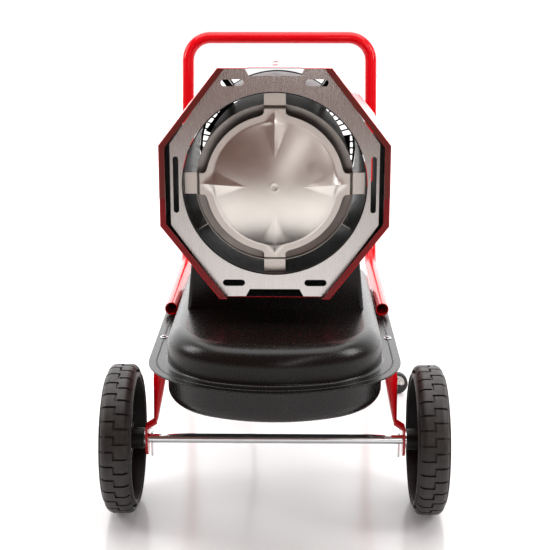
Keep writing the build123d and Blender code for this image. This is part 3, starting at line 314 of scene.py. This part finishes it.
RED = red_powder_coat()
# the colours given here are painted shade on the casing's front lip
CASE_ABOVE = casing_coat("casing_coat_above", UPPER_FRONT, (0.15, 0.022, 0.018))
CASE_BELOW = casing_coat("casing_coat_below", LOWER_FRONT, (0.22, 0.004, 0.006))
TEXTURED = black_texture_coat()
SATIN = black_satin()
PLATE = brushed_plate()
STEEL = spun_steel()
HEATED = heat_steel()
ZINC = bright_zinc()
TYRE = tyre_rubber()
PLASTIC = moulded_plastic("black_plastic", (0.006, 0.0055, 0.005), 0.4)
KNOB = moulded_plastic("knob_plastic", (0.022, 0.022, 0.022), 0.38)
BUTTON = moulded_plastic("button_plastic", (0.5, 0.02, 0.012), 0.3)
PALE = moulded_plastic("pale_plastic", (0.55, 0.55, 0.52), 0.32)
MOTOR = moulded_plastic("motor_paint", (0.035, 0.036, 0.038), 0.4)
RUBBER = matt_rubber()
LENS = lens()
ALLOY = cast_alloy()
COPPER = copper_pipe()

FINISHES = {
    RED: "side_frame_left side_frame_right rear_cross_tube handle_frame",
    CASE_ABOVE: "casing_upper",
    CASE_BELOW: "casing_lower",
    TEXTURED: "tank_upper tank_lower pedestal",
    SATIN: "air_duct duct_struts rear_guard motor_bracket fan filler_neck",
    PLATE: "front_plate",
    STEEL: "diffuser_disc diffuser_clips",
    HEATED: "combustion_chamber chamber_spacers burner_head",
    ZINC: "axle axle_pin_left axle_pin_right axle_washers axle_retainers motor_shaft drain_plug",
    TYRE: "tyre_left tyre_right",
    PLASTIC: "wheel_left wheel_right hub_cap_left hub_cap_right filler_cap control_panel",
    KNOB: "thermostat_knob rocker_switch",
    BUTTON: "reset_button",
    PALE: "plug_insert fuel_gauge",
    MOTOR: "motor",
    RUBBER: "rubber_foot_left rubber_foot_right mains_gland mains_plug mains_cord",
    LENS: "indicator_lamp",
    ALLOY: "fuel_pump fuel_filter",
    COPPER: "fuel_line",
}
for finish, names in FINISHES.items():
    for name in names.split():
        surface = nodes[name].data
        surface.materials.clear()
        surface.materials.append(finish)
        surface.shade_smooth()
        surface.set_sharp_from_angle(angle=radians(CREASE))


# --- mains cord -----------------------------------------------------------------------------------
CORD_R = 4 * MM
CORD_ROUTE = [
    (-88, 344, 443),
    (-88, 388, 443),
    (-87, 434, 426),
    (-84, 470, 387),
    (-79, 488, 330),
    (-72, 495, 268),
    (-62, 500, 206),
    (-56, 506, 145),
    (-60, 518, 88),
    (-76, 538, 40),
    (-106, 560, 12),
    (-150, 583, 4.2),
    (-178, 622, 4.2),
    (-176, 672, 4.2),
    (-136, 702, 4.2),
    (-80, 700, 4.2),
    (-22, 676, 4.2),
    (34, 648, 4.2),
    (92, 630, 4.2),
    (150, 638, 4.2),
    (190, 676, 4.2),
    (207, 729, 4.2),
    (208, 812, 4.6),
    (256, 841, 15),
    (305, 814, 28),
    (305, 743, 28),
]


def in_frame(x, y, z):
    """A place in millimetres, y behind the axle, as a point of the frame."""
    return Vector((x * MM, AXLE_Y + y * MM, z * MM))


line = bpy.data.curves.new("mains_cord_line", "CURVE")
line.dimensions = "3D"
spline = line.splines.new("NURBS")
spline.points.add(len(CORD_ROUTE) - 1)
for point, place in zip(spline.points, CORD_ROUTE):
    point.co = (*in_frame(*place), 1)
spline.order_u = 3
spline.use_endpoint_u = True
line.resolution_u = 8
line.bevel_depth = CORD_R
line.bevel_resolution = 4
line.use_fill_caps = True
line.materials.append(RUBBER)
cord = bpy.data.objects.new("mains_cord_free", line)
bpy.context.scene.collection.objects.link(cord)
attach(cord, "trolley")
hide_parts("mains_cord")

# --- tank -----------------------------------------------------------------------------------------
NOSE = 276.0
FLANGE_HALF = 241.5
FLANGE_TAIL = 450.0
TAIL_R = 80.0
FLANGE_Z = 344.0
SHEET = 1.5
SEAM = FLANGE_Z + SHEET
FLANGE_TOP = SEAM + SHEET
FLANGE_W = 36.5
TANK_TOP = 415.0
TANK_BOTTOM = 270.0
SEAM_GAP = 0.3
FLANGE_BOW = (290.0, 170.0)  # radii of the nose and of its corners
TUB_BOW = (290.0, 145.0)
ROOT_R = 5.0
EDGE_R = 0.5
TOP_ROUNDING = 36.0
BOTTOM_ROUNDING = 27.0
WELD_INSET = 15.0
WELD_PITCH = 1.6
WELD_SPOT = (1.9, 0.75)  # half width and height, on a spot and between two
WELD_WAIST = (1.1, 0.3)


def piece(name, verts, faces, finish, body="trolley", crease=CREASE):
    """A meshed piece, given in millimetres behind the axle, that rides on a body."""
    mesh = bpy.data.meshes.new(name)
    mesh.from_pydata([in_frame(*place) for place in verts], [], faces)
    mesh.materials.append(finish)
    mesh.shade_smooth()
    mesh.set_sharp_from_angle(angle=radians(crease))
    made = bpy.data.objects.new(name, mesh)
    bpy.context.scene.collection.objects.link(made)
    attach(made, body)
    return made


def arc(middle, radius, start, end, steps):
    """Points of an arc in the plan, angles in degrees from straight ahead towards the right."""
    turns = [radians(start + (end - start) * k / steps) for k in range(steps + 1)]
    return [(middle[0] + radius * sin(t), middle[1] - radius * cos(t)) for t in turns]


def tank_outline(inset, nose_r, corner_r):
    """The tank from above, drawn in by inset: bowed nose, round corners, straight sides, square tail."""
    half = FLANGE_HALF - inset
    nose = (0.0, inset - NOSE + nose_r)
    reach = nose_r - corner_r
    ahead = (reach**2 - (half - corner_r) ** 2) ** 0.5
    corner = (half - corner_r, nose[1] - ahead)
    meet = degrees(atan2(corner[0], ahead))
    tail_r = TAIL_R - inset
    tail = (half - tail_r, FLANGE_TAIL - inset - tail_r)
    right = arc(nose, nose_r, 0, meet, 20) + arc(corner, corner_r, meet, 90, 20)[1:]
    right += arc(tail, tail_r, 90, 180, 10)
    return right + [(-x, y) for x, y in right[:0:-1]]


def loft(loops):
    """Points and faces of a skin through loops of as many points each, closed at both ends."""
    count = len(loops[0])
    verts = [point for loop in loops for point in loop]
    faces = []
    for k in range(len(loops) - 1):
        low = k * count
        for i in range(count):
            j = (i + 1) % count
            faces.append((low + i, low + j, low + count + j, low + count + i))
    last = len(verts) - count
    faces.append(tuple(range(count - 1, -1, -1)))
    faces.append(tuple(range(last, last + count)))
    return verts, faces


def level(inset, z, bow, wider=0.0):
    """One loop of the tank's skin."""
    return [(x, y, z) for x, y in tank_outline(inset, bow[0] + wider, bow[1] + wider)]


def tank_half(name, node, edge_z, flange_z, far_z, rounding):
    """One pressed half: flange, small root radius, wall and rounded far edge."""
    way = 1 if far_z > flange_z else -1
    loops = [level(0, edge_z, FLANGE_BOW), level(0, flange_z - EDGE_R * way, FLANGE_BOW)]
    loops.append(level(EDGE_R, flange_z, FLANGE_BOW, -EDGE_R))
    for k in range(7):
        turn = radians(15 * k)
        inset = FLANGE_W - ROOT_R + ROOT_R * sin(turn)
        height = flange_z + way * ROOT_R * (1 - cos(turn))
        loops.append(level(inset, height, TUB_BOW, ROOT_R))
    for k in range(11):
        turn = radians(9 * k)
        drawn = rounding * (1 - cos(turn))
        height = far_z - way * rounding * (1 - sin(turn))
        loops.append(level(FLANGE_W + drawn, height, TUB_BOW, -drawn))
    verts, faces = loft(loops)
    if way < 0:
        faces = [face[::-1] for face in faces]
    made = piece(name, verts, faces, TEXTURED)
    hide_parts(node)


def evenly(points, pitch):
    """Points along a closed line of the plan, one every pitch or so."""
    closed = points + points[:1]
    spans = [hypot(b[0] - a[0], b[1] - a[1]) for a, b in zip(closed, closed[1:])]
    count = round(sum(spans) / pitch)
    step = sum(spans) / count
    found = []
    along = 0.0
    for (a, b), span in zip(zip(closed, closed[1:]), spans):
        while len(found) < count and len(found) * step <= along + span:
            part = (len(found) * step - along) / span
            found.append((a[0] + (b[0] - a[0]) * part, a[1] + (b[1] - a[1]) * part))
        along += span
    return found


def seam_weld():
    """The rolled seam weld inside the flange's edge, with its row of overlapping spots."""
    nose_r, corner_r = FLANGE_BOW
    line = evenly(tank_outline(WELD_INSET, nose_r - WELD_INSET, corner_r - WELD_INSET), WELD_PITCH)
    count = len(line)
    loops = []
    for i, (x, y) in enumerate(line):
        before, after = line[i - 1], line[(i + 1) % count]
        along = Vector((after[0] - before[0], after[1] - before[1])).normalized()
        half, rise = WELD_SPOT if i % 2 else WELD_WAIST
        profile = [(-half, 0.0), (-half * 0.55, rise), (half * 0.55, rise), (half, 0.0)]
        loops.append([(x - along.y * side, y + along.x * side, FLANGE_TOP + up) for side, up in profile])
    verts = [point for loop in loops for point in loop]
    faces = []
    for i in range(count):
        here, there = 4 * i, 4 * ((i + 1) % count)
        faces += [(here + k, there + k, there + k + 1, here + k + 1) for k in range(3)]
    piece("tank_seam_weld", verts, faces, TEXTURED, crease=70)


tank_half("tank_top_half", "tank_upper", SEAM, FLANGE_TOP, TANK_TOP, TOP_ROUNDING)
tank_half("tank_bottom_half", "tank_lower", SEAM - SEAM_GAP, FLANGE_Z, TANK_BOTTOM, BOTTOM_ROUNDING)
seam_weld()


# --- diffuser -------------------------------------------------------------------------------------
DISC_FACE = -74.0  # the flat rim's front face
DISC_T = 2.0
DISC_R = 128.6
ARM_R = 138.5
ARM_HALF = 20.0
ROUND_R = 122.0  # within it the mesh's rings are round, beyond it they widen to the rim
RING_STEP = 2.0
DOME_R = 116.0
RISE = 33.0
SPHERE = (DOME_R**2 + RISE**2) / (2 * RISE)
FOLD_START = 54.0  # a fold starts here, is widest at FOLD_WIDE and closes at FOLD_TIP
FOLD_WIDE = 110.0
FOLD_TIP = 131.0
FOLD_HALF = 26.0
SPOT_R = 7.5  # the small raised ring in the middle
SPOT_BLUR = 1.3
SPOT_INSIDE = 6.0
SPOT_DEPTH = 0.5


def rim(turn):
    """The disc's edge radius at an angle in degrees from the nearest arm."""
    away = abs(turn)
    end = ARM_R / cos(radians(away))
    side = ARM_HALF / sin(radians(away)) if away > 1 else end
    flare = DISC_R + 5 * exp(-max(away - 8.6, 0) / 1.6)
    return min(end, max(side, flare))


def cap(radius):
    """The dome's height without its folds."""
    if radius >= DOME_R:
        return 0.0
    return (SPHERE**2 - radius**2) ** 0.5 - (SPHERE - RISE)


def dome_height(radius, turn):
    """Height above the flat rim: a shallow dome, a fold towards each arm, a small spot in the middle."""
    height = cap(radius)
    out = radius * cos(radians(turn))
    aside = abs(radius * sin(radians(turn)))
    if FOLD_START < out < FOLD_TIP:
        ridge = cap(FOLD_START) * (1 - ((out - FOLD_START) / (FOLD_TIP - FOLD_START)) ** 1.5)
        if out < FOLD_WIDE:
            half = FOLD_HALF * (out - FOLD_START) / (FOLD_WIDE - FOLD_START)
        else:
            half = FOLD_HALF * ((FOLD_TIP - out) / (FOLD_TIP - FOLD_WIDE)) ** 0.8
        if aside < half:
            height = max(height, height + (ridge - height) * (1 - aside / half) ** 1.7)
    ring = SPOT_DEPTH * exp(-(((radius - SPOT_R) / SPOT_BLUR) ** 2))
    return height + ring - SPOT_DEPTH * (radius < SPOT_INSIDE)


def diffuser():
    """The pressed diffuser: flat rim with four arms, folded dome."""
    quarter = [-45 + 1.5 * k for k in range(22)] + [-12 + 0.4 * k for k in range(61)]
    quarter += [13.5 + 1.5 * k for k in range(21)]
    spots = [(arm * 90, turn) for arm in range(4) for turn in quarter]
    rings = [(RING_STEP * k, 0.0) for k in range(1, round(ROUND_R / RING_STEP) + 1)]
    rings += [(ROUND_R, share) for share in (0.34, 0.67, 1.0)]
    loops = []
    for inner, share in rings:
        loop = []
        for arm, turn in spots:
            radius = inner + (rim(turn) - inner) * share
            around = radians(arm + turn)
            front = DISC_FACE - dome_height(radius, turn)
            loop.append((radius * cos(around), front, CASE_Z / MM + radius * sin(around)))
        loops.append(loop)
    loops.append([(x, DISC_FACE + DISC_T, z) for x, y, z in loops[-1]])
    verts, faces = loft(loops)
    made = piece("diffuser_pressing", verts, faces, STEEL, crease=50)
    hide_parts("diffuser_disc")


diffuser()


# --- screws and marks -----------------------------------------------------------------------------
def turned(profile, middle, normal, sides=20):
    """Points and faces of a profile of (radius, height) turned about a normal through a place."""
    spin = Vector(normal).to_track_quat("Z", "Y")
    verts = []
    for radius, height in profile:
        for k in range(sides):
            turn = 2 * pi * k / sides
            place = Vector((radius * cos(turn), radius * sin(turn), height))
            verts.append(Vector(middle) + spin @ place)
    faces = []
    for k in range(len(profile) - 1):
        for i in range(sides):
            j = (i + 1) % sides
            faces.append((k * sides + i, k * sides + j, (k + 1) * sides + j, (k + 1) * sides + i))
    last = len(verts) - sides
    faces.append(tuple(range(sides - 1, -1, -1)))
    faces.append(tuple(range(last, last + sides)))
    return verts, faces


def gathered(name, parts, finish, body="trolley"):
    """One piece of several separate skins."""
    verts = []
    faces = []
    for more_verts, more_faces in parts:
        start = len(verts)
        verts += [tuple(place) for place in more_verts]
        faces += [tuple(start + i for i in face) for face in more_faces]
    return piece(name, verts, faces, finish, body)


def screw(middle, normal, radius):
    """A domed head, hollowed in the middle, on a plain washer."""
    seat = 1.3
    washer = [(1.65 * radius, 0.0), (1.65 * radius, 1.1), (1.5 * radius, 1.4), (0.5 * radius, 1.4)]
    dome = [(1.0, 0.0), (1.0, 0.25), (0.85, 0.6), (0.5, 0.72), (0.42, 0.7)]
    head = [(wide * radius, seat + high * radius) for wide, high in dome] + [(0.4 * radius, 1.5)]
    return [turned(washer, middle, normal), turned(head, middle, normal, 18)]


PANEL_FACE = 318.0
PANEL_Z = 443.0
DIAL_X = 8.0
SWITCH_X = -36.0
KNOB_FACE = 336.0
PAINT = 0.04  # a painted mark's height over its face
GLAND_END = (-88, 343.5, PANEL_Z)
FLANGE_SCREW_X = 227
FLANGE_SCREW_Y = 54
CASING_SCREW_YS = (-55, 143, 345)
CASING_SCREW_Z = 674
PANEL_SCREW_XS = (-100, 64)
PANEL_SCREW_RISE = 16
TICK_FROM = 18.0
TICK_TO = 20.6
LONG_TICK_TO = 21.6
TICK_HALF = 0.35
SWITCH_MARK_RISE = 19.3

flange_screws = []
casing_screws = []
for side in (-1, 1):
    flange_screws += screw((side * FLANGE_SCREW_X, FLANGE_SCREW_Y, FLANGE_TOP), (0, 0, 1), 4.5)
    for y in CASING_SCREW_YS:
        casing_screws += screw((side * CASE_HALF_W / MM, y, CASING_SCREW_Z), (side, 0, 0), 3.6)
gathered("flange_screws", flange_screws, ZINC)
gathered("casing_screws", casing_screws, ZINC)
panel_screws = []
for x in PANEL_SCREW_XS:
    for z in (PANEL_Z - PANEL_SCREW_RISE, PANEL_Z + PANEL_SCREW_RISE):
        panel_screws += screw((x, PANEL_FACE, z), (0, 1, 0), 2.4)
gathered("panel_screws", panel_screws, ZINC)

# the tapered, ribbed sleeve where the cord leaves its gland
SLEEVE = [(7.8, 0), (7.8, 3)]
for rib in range(5):
    start = 4.2 + 4.6 * rib
    thick = 7.4 - 0.45 * rib
    SLEEVE += [(thick - 1.2, start - 0.4), (thick, start), (thick, start + 2.4), (thick - 1.2, start + 2.8)]
SLEEVE += [(4.6, 28.0), (4.1, 28.6)]
gathered("strain_relief", [turned(SLEEVE, GLAND_END, (0, 1, 0))], RUBBER)


def flat_mark(corners, x, z, y=PANEL_FACE + PAINT):
    """A painted patch facing the rear, its corners given from (x, z)."""
    verts = [(x + dx, y, z + dz) for dx, dz in corners]
    return verts, [tuple(range(len(verts)))]


def dial_ticks():
    """Eleven ticks round the knob, the first, middle and last a little longer."""
    ticks = []
    for k in range(11):
        turn = radians(-135 + 27 * k)
        out = (sin(turn), cos(turn))
        side = (cos(turn), -sin(turn))
        far = TICK_TO if k % 5 else LONG_TICK_TO
        ends = ((TICK_FROM, -TICK_HALF), (TICK_FROM, TICK_HALF), (far, TICK_HALF), (far, -TICK_HALF))
        corners = [
            (out[0] * reach + side[0] * half, out[1] * reach + side[1] * half) for reach, half in ends
        ]
        ticks.append(flat_mark(corners, DIAL_X, PANEL_Z))
    return ticks


def switch_marks():
    """A bar above the rocker for on and a ring below it for off."""
    bar = [(-0.4, -1.5), (0.4, -1.5), (0.4, 1.5), (-0.4, 1.5)]
    found = [flat_mark(bar, SWITCH_X, PANEL_Z + SWITCH_MARK_RISE)]
    turns = [(2 * pi * k / 16) for k in range(17)]
    for a, b in zip(turns, turns[1:]):
        corners = [(r * sin(t), r * cos(t)) for r, t in ((1.0, a), (1.6, a), (1.6, b), (1.0, b))]
        found.append(flat_mark(corners, SWITCH_X, PANEL_Z - SWITCH_MARK_RISE))
    return found


gathered("panel_marks", dial_ticks() + switch_marks(), PALE)
pointer = flat_mark([(-0.7, 4), (0.7, 4), (0.7, 11), (-0.7, 11)], DIAL_X, PANEL_Z, KNOB_FACE + 0.05)
gathered("knob_pointer", [pointer], PALE, "knob")


# --- studio ---------------------------------------------------------------------------------------
scene = bpy.context.scene
scene.view_settings.view_transform = "Standard"
scene.view_settings.look = "None"

BACKDROP = 2.4  # radiance of the lit backdrop behind the object
FRONT_ROOM = (0.16, 0.078, 0.062)  # the dim room behind the camera
FLOOR_REACH = 9.0
FLOOR_FRONT = -5.2  # the room is dark past here, and the front plate's upper half reflects it


def studio_world():
    """White to the camera; a bright backdrop behind the object and a dim room behind the camera."""
    world = bpy.data.worlds.new("studio")
    world.use_nodes = True
    tree = world.node_tree
    place = tree.nodes.new("ShaderNodeTexCoord")
    axes = tree.nodes.new("ShaderNodeSeparateXYZ")
    reach = tree.nodes.new("ShaderNodeMapRange")
    reach.interpolation_type = "SMOOTHSTEP"
    reach.inputs["From Min"].default_value = 0.1
    reach.inputs["From Max"].default_value = 0.8
    room = tree.nodes.new("ShaderNodeMix")
    room.data_type = "RGBA"
    path = tree.nodes.new("ShaderNodeLightPath")
    choice = tree.nodes.new("ShaderNodeMix")
    choice.data_type = "RGBA"
    tree.links.new(place.outputs["Generated"], axes.inputs[0])
    tree.links.new(axes.outputs["Y"], reach.inputs["Value"])
    tree.links.new(reach.outputs["Result"], room.inputs["Factor"])
    set_colours(room, FRONT_ROOM, (BACKDROP, BACKDROP, BACKDROP))
    tree.links.new(path.outputs["Is Camera Ray"], choice.inputs["Factor"])
    seen = set_colours(choice, (0, 0, 0), (1.02, 1.02, 1.02))
    tree.links.new(colour_out(room), seen)
    background = tree.nodes["Background"]
    tree.links.new(colour_out(choice), background.inputs["Color"])
    return world


def floor():
    """A wide pale floor with a faint polish."""
    look = Finish("studio_floor", (0.75, 0.75, 0.75), 0.17, Specular_IOR_Level=0.35)
    look.shader.inputs["Emission Color"].default_value = (1, 1, 1, 1)
    look.shader.inputs["Emission Strength"].default_value = 0.1
    mesh = bpy.data.meshes.new("studio_floor")
    near = [(-FLOOR_REACH, FLOOR_FRONT, 0), (FLOOR_REACH, FLOOR_FRONT, 0)]
    far = [(FLOOR_REACH, FLOOR_REACH, 0), (-FLOOR_REACH, FLOOR_REACH, 0)]
    mesh.from_pydata(near + far, [], [(0, 1, 2, 3)])
    mesh.materials.append(look.material)
    made = bpy.data.objects.new("studio_floor", mesh)
    scene.collection.objects.link(made)


def area_light(name, width, height, power):
    """A rectangular light, still to be placed."""
    lamp = bpy.data.lights.new(name, "AREA")
    lamp.shape = "RECTANGLE"
    lamp.size = width
    lamp.size_y = height
    lamp.energy = power
    made = bpy.data.objects.new(name, lamp)
    scene.collection.objects.link(made)
    return made


def softbox(name, place, target, width, height, power):
    """A soft rectangular light aimed at a point."""
    made = area_light(name, width, height, power)
    made.location = place
    aim = Vector(target) - Vector(place)
    made.rotation_mode = "QUATERNION"
    made.rotation_quaternion = aim.to_track_quat("-Z", "Y")


def strip_light(name, start, end, target, width, power):
    """A long narrow light from start to end, facing the target."""
    middle = (Vector(start) + Vector(end)) / 2
    along = Vector(end) - Vector(start)
    back = (middle - Vector(target)).normalized()
    across = along.cross(back).normalized()
    up = back.cross(across)
    made = area_light(name, width, along.length, power)
    made.matrix_world = Matrix.Translation(middle) @ Matrix((across, up, back)).transposed().to_4x4()


scene.world = studio_world()
floor()
softbox("overhead", (0.0, 0.15, 2.9), (0, 0.15, 0.0), 3.4, 2.6, 90)
softbox("side_left", (-2.4, -0.2, 1.8), (0, -0.3, 0.4), 0.9, 1.2, 28)
softbox("side_right", (2.3, -0.75, 1.9), (0, -0.3, 0.4), 0.9, 1.2, 32)
strip_light("tall_right", (0.3, -3.4, 0.7), (1.5, -2.06, 2.7), (0, -0.4, 0.7), 0.3, 8)

# --- camera ---------------------------------------------------------------------------------------
PHOTO_SIDE = 550
FOCAL_PX = 1217
SENSOR = 36.0
PITCH = 14.56  # degrees down
YAW = 0.835
CAMERA_PLACE = (0.033, -2.5336, 1.091)
lens_data = bpy.data.cameras.new("camera")
lens_data.sensor_width = SENSOR
lens_data.lens = FOCAL_PX / PHOTO_SIDE * SENSOR
lens_data.clip_end = 60
camera = bpy.data.objects.new("camera", lens_data)
camera.location = CAMERA_PLACE
camera.rotation_euler = (radians(90 - PITCH), 0, radians(YAW))
scene.collection.objects.link(camera)
scene.camera = camera

bpy.context.view_layer.update()
